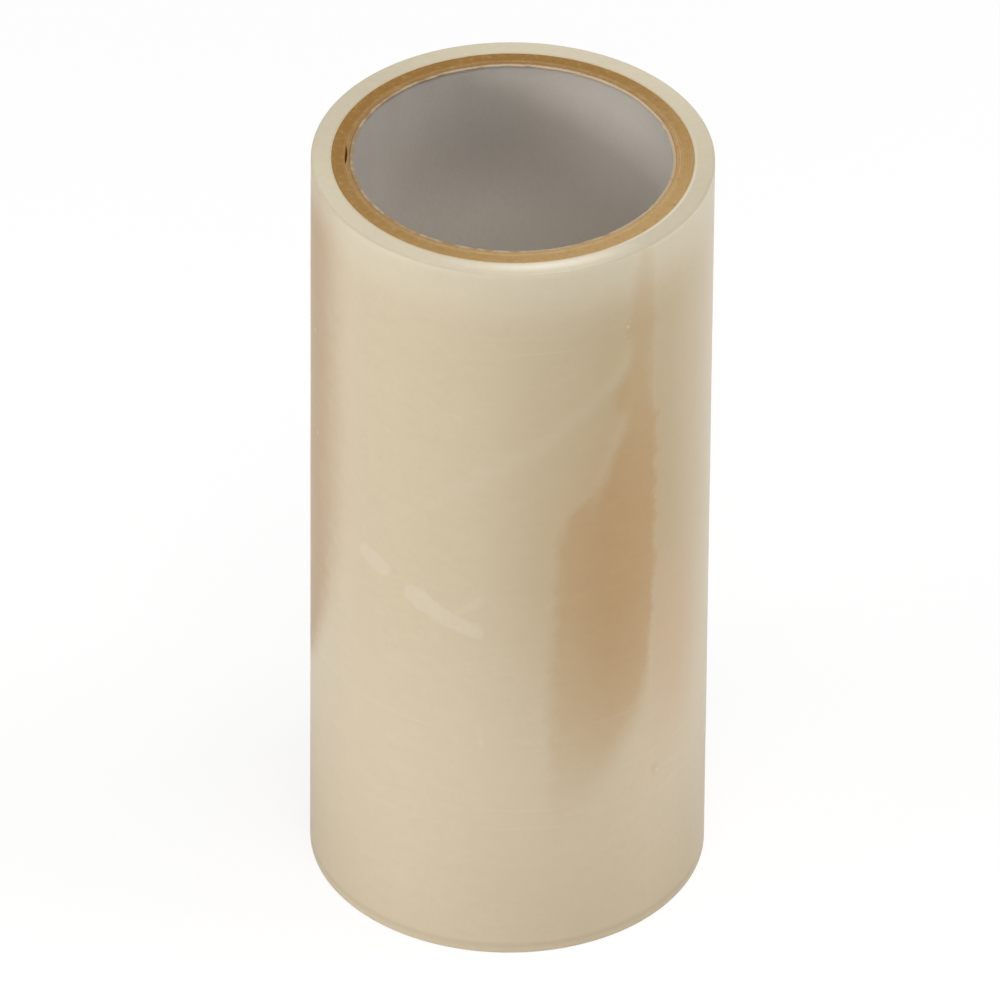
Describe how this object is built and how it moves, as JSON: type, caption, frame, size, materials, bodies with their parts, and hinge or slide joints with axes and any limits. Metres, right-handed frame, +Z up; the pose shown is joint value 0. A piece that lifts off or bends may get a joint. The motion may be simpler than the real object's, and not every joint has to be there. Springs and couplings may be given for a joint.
{
  "type": "roll of masking film",
  "caption": "Roll of clear plastic film wound on a brown paperboard core with a grey paper liner, standing on its end.",
  "frame": {"origin": "on the core's axis, at the foot of the standing roll", "axes": "+Z up along the core's axis; -Y is the front in the picture; +X is the picture's right"},
  "size_m": [0.0951, 0.0952, 0.2],
  "materials": {
    "film": "clear film in many turns, milky cream where air is trapped, glossy",
    "outer_board": "matte brown board, knife cut at both ends",
    "inner_board": "matte brown board, slightly paler and greyer",
    "liner_paper": "matte grey paper with a frayed cut edge"
  },
  "bodies": {
    "root": {"film_roll": "film", "core_outer_plies": "outer_board", "core_inner_ply": "inner_board", "core_liner": "liner_paper"}
  },
  "joints": []
}
